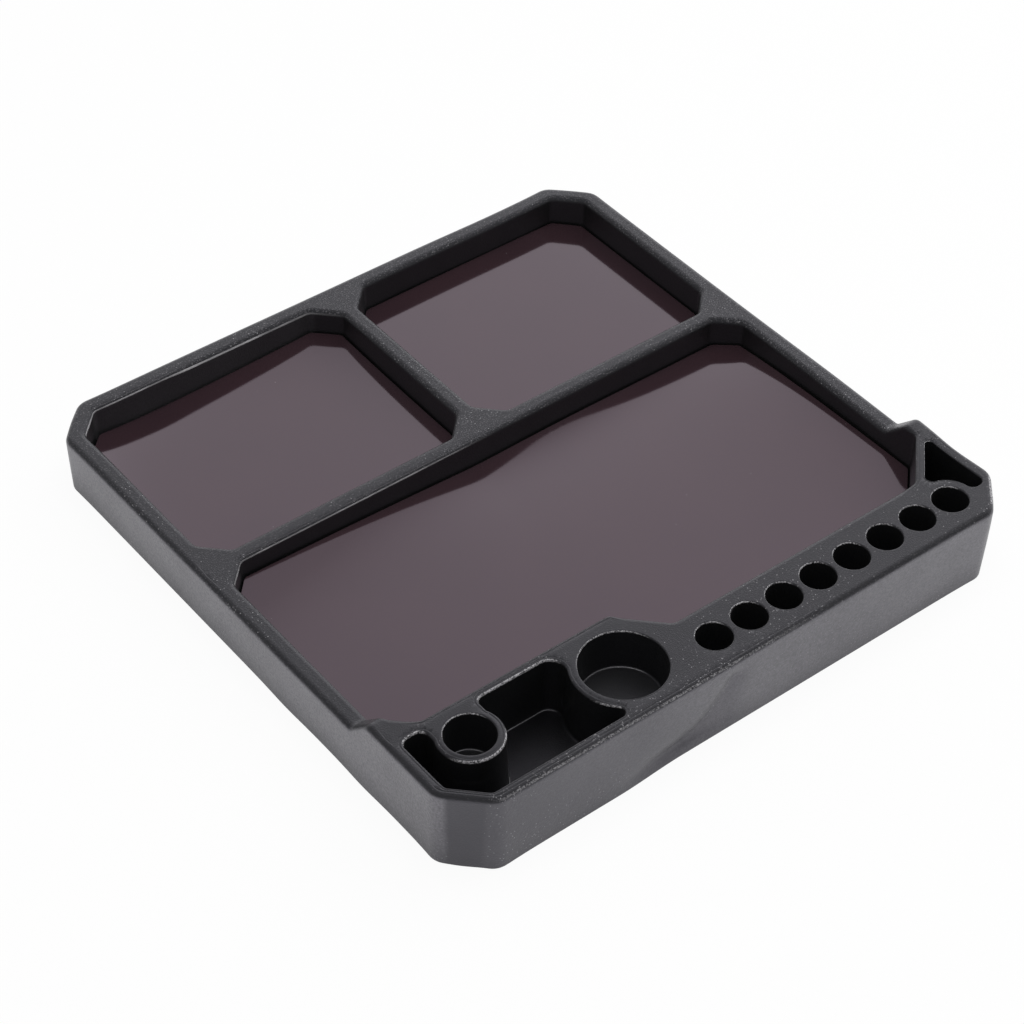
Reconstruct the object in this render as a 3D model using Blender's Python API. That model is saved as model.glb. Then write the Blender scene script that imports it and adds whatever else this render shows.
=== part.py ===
"""Silicone parts tray: one moulded body with a raised tool bar, and three magnet sheets bonded in its bays.

Metres, +Z up. X runs along the tool bar, left to right, and Y from the bar at the front to the back.
The origin is in the middle of the foot.
"""
import math

import bpy
from mathutils import Vector

MM = 0.001

# Outer form
WIDTH = 201.3 * MM
DEPTH = 203.9 * MM
RIM_HEIGHT = 19.2 * MM
STEP_RISE = 7.3 * MM
CORNER_LEG = 12.0 * MM
CORNER_RADIUS = 6.0 * MM
OUTER_EDGE = 2.0 * MM
OUTER_DRAFT = math.radians(1.0)
DRAFT = math.radians(1.7)

# Step between the side rims and the tool bar
RAMP_SETBACK = 7.0 * MM
RAMP_ANGLE = math.radians(45.0)
RAMP_RADIUS = 3.0 * MM

# Bays for loose parts
RIM_WALL = 6.2 * MM
LEFT_BAY_WIDTH = 92.5 * MM
REAR_BAY_DEPTH = 73.15 * MM
LONG_DIVIDER = 5.8 * MM
SHORT_DIVIDER = 6.0 * MM
REAR_BAY_LEG = 7.5 * MM
MAIN_BAY_LEG = 6.5 * MM
BAY_RADIUS = 3.0 * MM
BAY_EDGE = 1.8 * MM

# Foot and floors, each floor measured up from the recess under the tray
SKIRT = 4.0 * MM
RECESS_DEPTH = 5.0 * MM
BAY_FLOOR = 2.9 * MM
POCKET_FLOOR = 2.5 * MM
CUP_FLOOR = 8.0 * MM
HOLE_FLOOR = 5.5 * MM

# Cups and holes in the tool bar
BIG_CUP_DIAMETER = 24.9 * MM
SMALL_CUP_DIAMETER = 14.4 * MM
CUP_WALL = 2.8 * MM
RING_WALL = 2.5 * MM
CUP_FRONT_WALL = 5.25 * MM
CUP_REAR_WALL = 4.45 * MM
CUP_CORNER_WALL = 5.65 * MM
HOLE_DIAMETER = 10.5 * MM
HOLE_SPACING = 2.24 * MM
HOLE_WALL = 5.75 * MM
HOLE_END = 17.9 * MM
HOLE_CLEAR = 6.0 * MM
BAR_EDGE = 0.7 * MM
FLOOR_FILLET = 0.8 * MM

# Shaped pocket round the small cup
POCKET_SIDE_WALL = 4.1 * MM
POCKET_FRONT_WALL = 3.55 * MM
POCKET_CORNER_WALL = 3.1 * MM
POCKET_WEB = 2.7 * MM
SLOT_WIDTH = 6.4 * MM
POCKET_RUN = 22.7 * MM
NECK_INSET = 0.95 * MM
POCKET_RADIUS = 2.0 * MM
SLOT_RADIUS = 2.6 * MM
REAR_TIP_RADIUS = 4.5 * MM
FRONT_TIP_RADIUS = 1.9 * MM

# Corner pocket beside the last hole
CORNER_WEB_LEG = 14.65 * MM
CORNER_WEB = 2.7 * MM
CORNER_SIDE_WALL = 4.3 * MM
CORNER_RING_WALL = 2.95 * MM
CORNER_TOE = 0.6 * MM
CORNER_TIP_RADIUS = 1.5 * MM
CORNER_HEEL_RADIUS = 2.0 * MM
CORNER_TOE_RADIUS = 2.4 * MM

# Magnet sheets
SHEET_THICKNESS = 1.5 * MM
SHEET_CLEARANCE = 0.5 * MM
BOND_GAP = 0.3 * MM

# Facets, and how far a cutter stands past the face that it opens
ARC_STEP = math.radians(22.5)
HOLE_SIDES = 20
CUP_SIDES = 32
CUT_MARGIN = 2.0 * MM

# Layout worked out from the sizes above
BAR_HEIGHT = RIM_HEIGHT + STEP_RISE
LEFT = -WIDTH / 2
RIGHT = WIDTH / 2
FRONT = -DEPTH / 2
BACK = DEPTH / 2
BIG_R = BIG_CUP_DIAMETER / 2
SMALL_R = SMALL_CUP_DIAMETER / 2
HOLE_R = HOLE_DIAMETER / 2
RING_R = SMALL_R + RING_WALL
WALL_R = BIG_R + CUP_WALL
CUP_BAR_REAR = FRONT + CUP_FRONT_WALL + BIG_CUP_DIAMETER + CUP_REAR_WALL
HOLE_BAR_REAR = FRONT + HOLE_DIAMETER + 2 * HOLE_WALL
POCKET_LEFT = LEFT + POCKET_SIDE_WALL
POCKET_FRONT = FRONT + POCKET_FRONT_WALL
POCKET_REAR = CUP_BAR_REAR - POCKET_WEB
RING = Vector((POCKET_LEFT + SLOT_WIDTH + RING_R, CUP_BAR_REAR - CUP_REAR_WALL - SMALL_R))
BIG_CUP = Vector((RING.x + RING_R + POCKET_RUN + WALL_R, CUP_BAR_REAR - CUP_REAR_WALL - BIG_R))
LAST_HOLE = Vector((RIGHT - HOLE_END, FRONT + HOLE_WALL + HOLE_R))
HOLE_PITCH = HOLE_DIAMETER + HOLE_SPACING
HOLE_ROOM = LAST_HOLE.x - HOLE_R - HOLE_CLEAR - BIG_R - BIG_CUP.x
HOLE_COUNT = int(HOLE_ROOM / HOLE_PITCH) + 1
BAY_LEFT = LEFT + RIM_WALL
BAY_RIGHT = RIGHT - RIM_WALL
BAY_BACK = BACK - RIM_WALL
REAR_BAY_FRONT = BAY_BACK - REAR_BAY_DEPTH
MAIN_BAY_BACK = REAR_BAY_FRONT - LONG_DIVIDER
LEFT_BAY_RIGHT = BAY_LEFT + LEFT_BAY_WIDTH
RIGHT_BAY_LEFT = LEFT_BAY_RIGHT + SHORT_DIVIDER
RAMP_TOP = CUP_BAR_REAR + RAMP_SETBACK
RAMP_FOOT = RAMP_TOP + STEP_RISE / math.tan(RAMP_ANGLE)
BAY_FLOOR_Z = RECESS_DEPTH + BAY_FLOOR
POCKET_FLOOR_Z = RECESS_DEPTH + POCKET_FLOOR
CUP_FLOOR_Z = RECESS_DEPTH + CUP_FLOOR
HOLE_FLOOR_Z = RECESS_DEPTH + HOLE_FLOOR
FOOT_INSET = BAR_HEIGHT * math.tan(OUTER_DRAFT)


def clear_scene():
    for old in list(bpy.data.objects):
        bpy.data.objects.remove(old, do_unlink=True)


# Outlines

def polar(centre, radius, angle):
    return Vector((centre.x + radius * math.cos(angle), centre.y + radius * math.sin(angle)))


def heading(vector):
    return math.atan2(vector.y, vector.x)


def arc(centre, radius, start, end):
    """Points along an arc, both ends included."""
    steps = max(2, math.ceil(abs(end - start) / ARC_STEP - 0.01))
    return [polar(centre, radius, start + (end - start) * i / steps) for i in range(steps + 1)]


def circle(centre, radius, sides):
    return [polar(centre, radius, 2 * math.pi * i / sides) for i in range(sides)]


def left_normal(direction):
    return Vector((-direction.y, direction.x))


def fillet(before, corner, after, radius):
    """Points that round one corner of a path."""
    into = (corner - before).normalized()
    out = (after - corner).normalized()
    turn = math.atan2(into.cross(out), into.dot(out))
    if radius <= 0 or abs(turn) < 1e-4:
        return [corner]
    first = corner - into * radius * math.tan(abs(turn) / 2)
    centre = first + left_normal(into) * math.copysign(radius, turn)
    start = heading(first - centre)
    return arc(centre, radius, start, start + turn)


def rounded(corners):
    """A closed outline from corners given as (point, radius), anticlockwise."""
    loop = []
    for i, (corner, radius) in enumerate(corners):
        before = corners[i - 1][0]
        after = corners[(i + 1) % len(corners)][0]
        loop += fillet(before, corner, after, radius)
    return loop


def corner(x, y, radius):
    return (Vector((x, y)), radius)


def as_drawn(points):
    """Points of an arc that need no rounding of their own."""
    return [(p, 0.0) for p in points]


def chamfered(left, front, right, back, leg, radius):
    """A rectangle with its corners cut at 45 degrees and the cuts rounded."""
    return rounded([
        corner(left + leg, front, radius), corner(right - leg, front, radius),
        corner(right, front + leg, radius), corner(right, back - leg, radius),
        corner(right - leg, back, radius), corner(left + leg, back, radius),
        corner(left, back - leg, radius), corner(left, front + leg, radius),
    ])


def blend_centre(point, direction, centre, reach, radius, leaving):
    """Centre of the round that touches a straight wall and a round wall of the given reach."""
    start = point + left_normal(direction) * radius - centre
    along = start.dot(direction)
    root = math.sqrt(along ** 2 - start.length_squared + (reach + radius) ** 2)
    travel = -along + root if leaving else -along - root
    return centre + start + direction * travel


def offset(loop, distance):
    """The outline moved outward along its own normals."""
    moved = []
    for i, point in enumerate(loop):
        into = (point - loop[i - 1]).normalized()
        out = (loop[(i + 1) % len(loop)] - point).normalized()
        between = (left_normal(into) + left_normal(out)).normalized()
        moved.append(point - between * distance / between.dot(left_normal(into)))
    return moved


def split_rows(loop, rows):
    """The outline with a point added wherever it crosses one of the given rows."""
    result = []
    for i, start in enumerate(loop):
        end = loop[(i + 1) % len(loop)]
        low = min(start.y, end.y) + 1e-7
        high = max(start.y, end.y) - 1e-7
        cuts = [(row - start.y) / (end.y - start.y) for row in rows if low < row < high]
        result.append(start)
        result += [start.lerp(end, t) for t in sorted(cuts)]
    return result


# The tray's top, seen from the side: low rims, a rounded ramp, then the bar

def step_profile():
    back = Vector((BACK, RIM_HEIGHT))
    foot = Vector((RAMP_FOOT, RIM_HEIGHT))
    head = Vector((RAMP_TOP, BAR_HEIGHT))
    front = Vector((FRONT, BAR_HEIGHT))
    return fillet(back, foot, head, RAMP_RADIUS) + fillet(foot, head, front, RAMP_RADIUS)


PROFILE = step_profile()
ROWS = [p.x for p in PROFILE]


def top_z(y):
    if y >= PROFILE[0].x:
        return RIM_HEIGHT
    for behind, ahead in zip(PROFILE, PROFILE[1:]):
        if y >= ahead.x:
            return ahead.y + (behind.y - ahead.y) * (y - ahead.x) / (behind.x - ahead.x)
    return BAR_HEIGHT


def on_top(loop, rise):
    """The outline laid along the tray's top, raised or lowered by a little."""
    return [Vector((p.x, p.y, top_z(p.y) + rise)) for p in loop]


def level(loop, z):
    return [Vector((p.x, p.y, z)) for p in loop]


# Solids

def make_object(name, verts, faces):
    mesh = bpy.data.meshes.new(name)
    mesh.from_pydata(verts, [], faces)
    mesh.shade_smooth()
    mesh.set_sharp_from_angle(angle=math.radians(40))
    obj = bpy.data.objects.new(name, mesh)
    bpy.context.scene.collection.objects.link(obj)
    return obj


def skin(rings):
    """Points and side faces through rings of equal length, from the bottom up, with the bottom closed."""
    size = len(rings[0])
    verts = [v for ring in rings for v in ring]
    faces = [tuple(reversed(range(size)))]
    for r in range(len(rings) - 1):
        low = r * size
        high = low + size
        for i in range(size):
            j = (i + 1) % size
            faces.append((low + i, low + j, high + j, high + i))
    return verts, faces


def loft(name, rings):
    verts, faces = skin(rings)
    faces.append(tuple(range(len(verts) - len(rings[0]), len(verts))))
    return make_object(name, verts, faces)


def edge_arc(radius, steps):
    """Run and drop of a rounded edge, from the wall up to the top."""
    turns = [math.pi / 2 * i / steps for i in range(steps + 1)]
    return [(radius * (1 - math.cos(a)), radius * (math.sin(a) - 1)) for a in turns]


def wall_inset(height):
    return height * math.tan(DRAFT)


def cavity(name, loop, floor_z, mouth_z, edge, foot):
    """A drafted cutter with a rounded mouth and, where a foot radius is given, a rounded foot."""
    inset = wall_inset(mouth_z - floor_z)
    rings = [level(offset(loop, -inset), floor_z)]
    if foot > 0:
        rings = [level(offset(loop, -inset - run), floor_z - drop) for run, drop in edge_arc(foot, 2)[::-1]]
    mouth = edge_arc(edge, 3)
    run = mouth[-1][0] * 1.2 - mouth[-2][0] * 0.2
    drop = mouth[-1][1] * 1.2 - mouth[-2][1] * 0.2
    for out, rise in mouth[:-1] + [(run, drop)]:
        rings.append(on_top(offset(loop, out), rise))
    rings.append(level(offset(loop, run), BAR_HEIGHT + CUT_MARGIN))
    return loft(name, rings)


def material(name, colour, roughness):
    """A dull or glossy rubber."""
    mat = bpy.data.materials.new(name)
    mat.use_nodes = True
    shader = mat.node_tree.nodes["Principled BSDF"]
    shader.inputs["Base Color"].default_value = (*colour, 1.0)
    shader.inputs["Roughness"].default_value = roughness
    shader.inputs["Metallic"].default_value = 0.0
    mat.diffuse_color = (*colour, 1.0)
    return mat


# Outlines of the bays and pockets

def rear_bay_outline(left, right):
    return chamfered(left, REAR_BAY_FRONT, right, BAY_BACK, REAR_BAY_LEG, BAY_RADIUS)


def main_bay_outline():
    """The large bay: its front follows the bar, which is wide at the cups and narrow at the holes."""
    slant = BIG_CUP.x + BIG_CUP.y + math.sqrt(2) * (BIG_R + CUP_CORNER_WALL)
    leg = MAIN_BAY_LEG
    points = [
        (BAY_LEFT + leg, CUP_BAR_REAR), (slant - CUP_BAR_REAR, CUP_BAR_REAR),
        (slant - HOLE_BAR_REAR, HOLE_BAR_REAR), (BAY_RIGHT - CORNER_WEB_LEG, HOLE_BAR_REAR),
        (BAY_RIGHT, HOLE_BAR_REAR + CORNER_WEB_LEG), (BAY_RIGHT, MAIN_BAY_BACK - leg),
        (BAY_RIGHT - leg, MAIN_BAY_BACK), (BAY_LEFT + leg, MAIN_BAY_BACK),
        (BAY_LEFT, MAIN_BAY_BACK - leg), (BAY_LEFT, CUP_BAR_REAR + leg),
    ]
    return split_rows(rounded([corner(x, y, BAY_RADIUS) for x, y in points]), ROWS)


def pocket_outline():
    """The pocket between the left wall, the ring post on its neck and the big cup's wall."""
    leg = CORNER_LEG + math.sqrt(2) * POCKET_CORNER_WALL - POCKET_SIDE_WALL - POCKET_FRONT_WALL
    rightward = Vector((1, 0))
    front_wall = Vector((POCKET_LEFT, POCKET_FRONT))
    rear_wall = Vector((POCKET_LEFT, POCKET_REAR))
    front_tip = blend_centre(front_wall, rightward, BIG_CUP, WALL_R, FRONT_TIP_RADIUS, False)
    rear_tip = blend_centre(rear_wall, -rightward, BIG_CUP, WALL_R, REAR_TIP_RADIUS, True)
    front_turn = heading(front_tip - BIG_CUP) + 2 * math.pi
    rear_turn = heading(rear_tip - BIG_CUP)
    neck = RING_R - NECK_INSET
    shoulder = math.acos(neck / RING_R)
    return rounded(
        [corner(POCKET_LEFT, POCKET_FRONT + leg, POCKET_RADIUS),
         corner(POCKET_LEFT + leg, POCKET_FRONT, POCKET_RADIUS)]
        + as_drawn(arc(front_tip, FRONT_TIP_RADIUS, -math.pi / 2, heading(BIG_CUP - front_tip)))
        + as_drawn(arc(BIG_CUP, WALL_R, front_turn, rear_turn)[1:-1])
        + as_drawn(arc(rear_tip, REAR_TIP_RADIUS, heading(BIG_CUP - rear_tip), math.pi / 2))
        + [corner(RING.x + neck, POCKET_REAR, POCKET_RADIUS)]
        + as_drawn(arc(RING, RING_R, shoulder, -math.pi - shoulder))
        + [corner(RING.x - neck, POCKET_REAR, SLOT_RADIUS), corner(POCKET_LEFT, POCKET_REAR, SLOT_RADIUS)])


def corner_pocket_outline():
    """The three-cornered pocket between the right wall, the bay's slanted web and the last hole."""
    side = RIGHT - CORNER_SIDE_WALL
    reach = HOLE_R + CORNER_RING_WALL
    slant = BAY_RIGHT - CORNER_WEB_LEG - HOLE_BAR_REAR + math.sqrt(2) * CORNER_WEB
    tip = Vector((side, side - slant))
    downhill = Vector((-1, -1)).normalized()
    heel = blend_centre(tip, downhill, LAST_HOLE, reach, CORNER_HEEL_RADIUS, False)
    heel_start = heading(-left_normal(downhill))
    toe_y = LAST_HOLE.y - CORNER_TOE
    toe_start = math.asin((CORNER_TOE_RADIUS - CORNER_TOE) / reach) + ARC_STEP / 4
    return rounded(
        [(tip, CORNER_TIP_RADIUS)]
        + as_drawn(arc(heel, CORNER_HEEL_RADIUS, heel_start, heading(LAST_HOLE - heel) + 2 * math.pi))
        + as_drawn(arc(LAST_HOLE, reach, heading(heel - LAST_HOLE), toe_start)[1:])
        + [corner(LAST_HOLE.x + reach, toe_y, CORNER_TOE_RADIUS), corner(side, toe_y, CORNER_TOE_RADIUS)])


# Sub-parts

def body_blank():
    """The tray before anything is cut: drafted walls and a rounded edge that climbs the ramp."""
    outline = split_rows(chamfered(LEFT, FRONT, RIGHT, BACK, CORNER_LEG, CORNER_RADIUS), ROWS)
    rings = [level(offset(outline, -FOOT_INSET), 0.0)]
    for run, drop in edge_arc(OUTER_EDGE, 3):
        rings.append(on_top(offset(outline, -run), drop))
    verts, faces = skin(rings)
    size = len(outline)
    top = range(len(verts) - size, len(verts))
    west = sorted((i for i in top if verts[i].x < 0), key=lambda i: verts[i].y)
    east = sorted((i for i in top if verts[i].x > 0), key=lambda i: verts[i].y)
    for k in range(len(west) - 1):
        faces.append((west[k], east[k], east[k + 1], west[k + 1]))
    return make_object("tray_body", verts, faces)


def recess():
    """The shallow hollow under the tray, inside the skirt that it stands on."""
    rings = []
    for z in (-CUT_MARGIN, RECESS_DEPTH):
        wall = SKIRT + FOOT_INSET + wall_inset(max(z, 0.0))
        leg = CORNER_LEG - wall * (2 - math.sqrt(2))
        outline = chamfered(LEFT + wall, FRONT + wall, RIGHT - wall, BACK - wall, leg, BAY_RADIUS)
        rings.append(level(outline, z))
    return loft("cut_recess", rings)


def bay_outlines():
    return {
        "rear_left": rear_bay_outline(BAY_LEFT, LEFT_BAY_RIGHT),
        "rear_right": rear_bay_outline(RIGHT_BAY_LEFT, BAY_RIGHT),
        "main": main_bay_outline(),
    }


def bar_cavity(name, loop, floor_z, foot):
    return cavity(name, loop, floor_z, BAR_HEIGHT, BAR_EDGE, foot)


def bar_cutters():
    tip_room = FRONT_TIP_RADIUS - wall_inset(BAR_HEIGHT - POCKET_FLOOR_Z)
    pocket_foot = min(FLOOR_FILLET, tip_room - 0.2 * MM)
    big_cup = circle(BIG_CUP, BIG_R, CUP_SIDES)
    small_cup = circle(RING, SMALL_R, CUP_SIDES)
    cutters = [
        bar_cavity("cut_pocket", pocket_outline(), POCKET_FLOOR_Z, pocket_foot),
        bar_cavity("cut_corner_pocket", corner_pocket_outline(), POCKET_FLOOR_Z, 0.0),
        bar_cavity("cut_big_cup", big_cup, CUP_FLOOR_Z, FLOOR_FILLET),
        bar_cavity("cut_small_cup", small_cup, CUP_FLOOR_Z, FLOOR_FILLET),
    ]
    for k in range(HOLE_COUNT):
        loop = circle(LAST_HOLE - Vector((k * HOLE_PITCH, 0)), HOLE_R, HOLE_SIDES)
        cutters.append(bar_cavity("cut_hole_%d" % (HOLE_COUNT - k), loop, HOLE_FLOOR_Z, 0.0))
    return cutters


def tray_body():
    body = body_blank()
    body.data.materials.append(material("black_silicone", (0.018, 0.018, 0.020), 0.48))
    cutters = [recess()] + bar_cutters()
    for name, outline in bay_outlines().items():
        cutters.append(cavity("cut_bay_" + name, outline, BAY_FLOOR_Z, RIM_HEIGHT, BAY_EDGE, 0.0))
    group = bpy.data.collections.new("cutters")
    bpy.context.scene.collection.children.link(group)
    for tool in cutters:
        bpy.context.scene.collection.objects.unlink(tool)
        group.objects.link(tool)
        tool.hide_render = True
        tool.display_type = "WIRE"
    cut = body.modifiers.new("cavities", "BOOLEAN")
    cut.operation = "DIFFERENCE"
    cut.solver = "EXACT"
    cut.operand_type = "COLLECTION"
    cut.collection = group
    return body


def magnet_sheet(name, outline):
    """A sheet cut to its bay's floor, lying on its film of glue."""
    loop = offset(outline, -wall_inset(RIM_HEIGHT - BAY_FLOOR_Z) - SHEET_CLEARANCE)
    low = BAY_FLOOR_Z + BOND_GAP
    sheet = loft("magnet_sheet_" + name, [level(loop, low), level(loop, low + SHEET_THICKNESS)])
    sheet.data.materials.append(material("magnet_rubber_" + name, (0.022, 0.014, 0.016), 0.16))
    return sheet


def main():
    clear_scene()
    tray_body()
    for name, outline in bay_outlines().items():
        magnet_sheet(name, outline)


main()
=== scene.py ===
import math

import bpy
import numpy as np
from mathutils import Matrix, Vector
from mathutils.geometry import delaunay_2d_cdt

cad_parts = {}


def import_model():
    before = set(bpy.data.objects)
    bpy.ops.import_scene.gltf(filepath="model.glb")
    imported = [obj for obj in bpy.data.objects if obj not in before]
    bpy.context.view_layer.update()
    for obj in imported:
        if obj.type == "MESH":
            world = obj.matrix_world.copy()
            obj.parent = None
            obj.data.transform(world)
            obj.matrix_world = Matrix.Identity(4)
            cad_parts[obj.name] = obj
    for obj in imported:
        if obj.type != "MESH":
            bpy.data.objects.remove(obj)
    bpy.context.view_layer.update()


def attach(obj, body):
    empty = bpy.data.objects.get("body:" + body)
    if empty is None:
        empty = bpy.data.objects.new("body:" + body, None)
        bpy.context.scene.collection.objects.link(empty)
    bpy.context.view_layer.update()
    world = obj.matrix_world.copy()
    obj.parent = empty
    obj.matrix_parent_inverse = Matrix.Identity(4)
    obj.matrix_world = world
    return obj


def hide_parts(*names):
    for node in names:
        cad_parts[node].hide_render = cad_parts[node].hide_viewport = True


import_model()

MM = 0.001

# Outer form, with the same names and values as the solids
WIDTH = 201.3 * MM
DEPTH = 203.9 * MM
RIM_HEIGHT = 19.2 * MM
STEP_RISE = 7.3 * MM
CORNER_LEG = 12.0 * MM
CORNER_RADIUS = 6.0 * MM
OUTER_EDGE = 2.0 * MM
OUTER_DRAFT = math.radians(1.0)
DRAFT = math.radians(1.7)
RAMP_SETBACK = 7.0 * MM
RAMP_ANGLE = math.radians(45.0)
RAMP_RADIUS = 3.0 * MM

# Bays
RIM_WALL = 6.2 * MM
LEFT_BAY_WIDTH = 92.5 * MM
REAR_BAY_DEPTH = 73.15 * MM
LONG_DIVIDER = 5.8 * MM
SHORT_DIVIDER = 6.0 * MM
REAR_BAY_LEG = 7.5 * MM
MAIN_BAY_LEG = 6.5 * MM
BAY_RADIUS = 3.0 * MM
BAY_EDGE = 1.8 * MM

# Foot and floors
SKIRT = 4.0 * MM
RECESS_DEPTH = 5.0 * MM
BAY_FLOOR = 2.9 * MM
POCKET_FLOOR = 2.5 * MM
CUP_FLOOR = 8.0 * MM
HOLE_FLOOR = 5.5 * MM
FOOT_EDGE = 0.35 * MM
BAY_FILLET = 0.4 * MM
CORNER_POCKET_FILLET = 0.3 * MM

# Cups and holes
BIG_CUP_DIAMETER = 24.9 * MM
SMALL_CUP_DIAMETER = 14.4 * MM
CUP_WALL = 2.8 * MM
RING_WALL = 2.5 * MM
CUP_FRONT_WALL = 5.25 * MM
CUP_REAR_WALL = 4.45 * MM
CUP_CORNER_WALL = 5.65 * MM
HOLE_DIAMETER = 10.5 * MM
HOLE_SPACING = 2.24 * MM
HOLE_WALL = 5.75 * MM
HOLE_END = 17.9 * MM
HOLE_COUNT = 8
BAR_EDGE = 0.5 * MM
POCKET_EDGE = 0.9 * MM
FLOOR_FILLET = 0.8 * MM

# Shaped pocket and corner pocket
POCKET_SIDE_WALL = 4.1 * MM
POCKET_FRONT_WALL = 3.55 * MM
POCKET_CORNER_WALL = 3.1 * MM
POCKET_WEB = 2.7 * MM
SLOT_WIDTH = 6.4 * MM
POCKET_RUN = 22.7 * MM
NECK_INSET = 0.95 * MM
POCKET_RADIUS = 2.0 * MM
SLOT_RADIUS = 2.6 * MM
REAR_TIP_RADIUS = 4.5 * MM
FRONT_TIP_RADIUS = 1.9 * MM
CORNER_WEB_LEG = 14.65 * MM
CORNER_WEB = 2.7 * MM
CORNER_SIDE_WALL = 4.3 * MM
CORNER_RING_WALL = 2.95 * MM
CORNER_TOE = 0.6 * MM
CORNER_TIP_RADIUS = 1.5 * MM
CORNER_HEEL_RADIUS = 2.0 * MM
CORNER_TOE_RADIUS = 2.4 * MM

# Edges that came sharper from the mould, and the seam beside them
TIGHT_SHARE = 0.5
OUTER_TIGHT_SHARE = 0.85
SEAM = 0.3 * MM
SEAM_DEPTH = 0.2 * MM
SEAM_LEAST = 0.15
TIGHT_RIM_WIDTH = 3.0 * MM
TIGHT_WEB_WIDTH = 1.6 * MM

# Where those edges are: each pair runs from where the change starts to where it is whole
TIGHT_FRONT_X = (30.0 * MM, -10.0 * MM)
TIGHT_FRONT_INSET = (12.0 * MM, 2.0 * MM)
TIGHT_DIVIDER_X = (25.0 * MM, -15.0 * MM)
TIGHT_CUT_SIDE_INSET = (16.0 * MM, 8.0 * MM)
TIGHT_CUT_FRONT_INSET = (16.0 * MM, 10.0 * MM)
TIGHT_WEB_X = (-10.0 * MM, -30.0 * MM)
TIGHT_REAR_X = (-45.0 * MM, -65.0 * MM)
TIGHT_CORNER_REACH = (16.0 * MM, 9.0 * MM)

# Magnet sheets
SHEET_THICKNESS = 1.5 * MM
SHEET_CLEARANCE = 0.5 * MM
BOND_GAP = 0.3 * MM

# Waves of the sheets: how far the edges curl up from the floor, and over what length the curl fades
CORNER_CURL = 2.3 * MM
CORNER_FADE = (20.0 * MM, 23.0 * MM)
LEFT_CURL = 2.6 * MM
LEFT_FADE = (9.0 * MM, 25.0 * MM)
SAG = 0.35 * MM
SAG_FADE = 10.0 * MM
SAG_LEFT_X = (-20.0 * MM, -75.0 * MM)
SAG_RIGHT_X = (60.0 * MM, 5.0 * MM)
SAG_REAR_SHARE = 0.6
SAG_MOST = 0.8 * MM
CURL_EASE = 4.0 * MM
REAR_CURL = 4.2 * MM
REAR_CURL_START = -6.0 * MM
REAR_CURL_LENGTH = 52.0 * MM
REAR_CURL_FADE = 12.0 * MM
REAR_RIPPLE = 1.0 * MM
REAR_RIPPLE_X = 28.0 * MM
REAR_RIPPLE_WIDTH = 37.0 * MM
REAR_DIP = 0.85 * MM
REAR_DIP_X = 26.0 * MM
REAR_DIP_WIDTH = 50.0 * MM
REAR_DIP_REACH = 9.0 * MM
RIGHT_CURL = 3.7 * MM
RIGHT_CURL_START = 23.0 * MM
RIGHT_CURL_FADE = 30.0 * MM

# Bends of the soft body: bulge and crease pairs run from where each starts to where it is whole
FOLD_BULGE = 0.8 * MM
FOLD_CREASE = 1.7 * MM
FOLD_FOOT = (-40.5 * MM, 3.8 * MM)
FOLD_RUN = 31.0 * MM
FOLD_CLIMB = 13.0 * MM
FOLD_CURVE = 3.5
FOLD_WIDTH = (2.6 * MM, 7.0 * MM)
FOLD_INSET = (5.0 * MM, 1.0 * MM)
BULGE_LEFT = (-98.0 * MM, -84.0 * MM)
BULGE_RIGHT = (-25.0 * MM, -48.0 * MM)
BULGE_TOP = (26.0 * MM, 4.0 * MM)
CREASE_LEFT = (-49.0 * MM, -30.0 * MM)
CREASE_RIGHT = (-2.0 * MM, -10.0 * MM)
CREASE_TOP = (24.0 * MM, 20.0 * MM)
CREASE_FOOT = (1.0 * MM, 5.0 * MM)

# Fineness of the meshes
ARC_STEP = math.radians(6.0)
HOLE_SIDES = 56
CUP_SIDES = 96
SPACING = 3.0 * MM
FINE_SPACING = 1.2 * MM
EDGE_STEPS = 7
FOOT_STEPS = 4
WALL_ROWS = 15
CAVITY_ROWS = 5
TOP_SPACING = 0.8 * SPACING
ROOF_SPACING = 3 * SPACING
BAY_SPACING = 2 * SPACING
SHEET_SPACING = 0.45 * SPACING
GRID_ROW = 0.866
GRID_MARGIN = 0.45
ROW_MARGIN = 0.05 * MM

# Layout worked out from the sizes above
BAR_HEIGHT = RIM_HEIGHT + STEP_RISE
LEFT = -WIDTH / 2
RIGHT = WIDTH / 2
FRONT = -DEPTH / 2
BACK = DEPTH / 2
BIG_R = BIG_CUP_DIAMETER / 2
SMALL_R = SMALL_CUP_DIAMETER / 2
HOLE_R = HOLE_DIAMETER / 2
RING_R = SMALL_R + RING_WALL
WALL_R = BIG_R + CUP_WALL
CUP_BAR_REAR = FRONT + CUP_FRONT_WALL + BIG_CUP_DIAMETER + CUP_REAR_WALL
HOLE_BAR_REAR = FRONT + HOLE_DIAMETER + 2 * HOLE_WALL
POCKET_LEFT = LEFT + POCKET_SIDE_WALL
POCKET_FRONT = FRONT + POCKET_FRONT_WALL
POCKET_REAR = CUP_BAR_REAR - POCKET_WEB
RING = Vector((POCKET_LEFT + SLOT_WIDTH + RING_R, CUP_BAR_REAR - CUP_REAR_WALL - SMALL_R))
BIG_CUP = Vector((RING.x + RING_R + POCKET_RUN + WALL_R, CUP_BAR_REAR - CUP_REAR_WALL - BIG_R))
LAST_HOLE = Vector((RIGHT - HOLE_END, FRONT + HOLE_WALL + HOLE_R))
HOLE_PITCH = HOLE_DIAMETER + HOLE_SPACING
BAY_LEFT = LEFT + RIM_WALL
BAY_RIGHT = RIGHT - RIM_WALL
BAY_BACK = BACK - RIM_WALL
REAR_BAY_FRONT = BAY_BACK - REAR_BAY_DEPTH
MAIN_BAY_BACK = REAR_BAY_FRONT - LONG_DIVIDER
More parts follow.
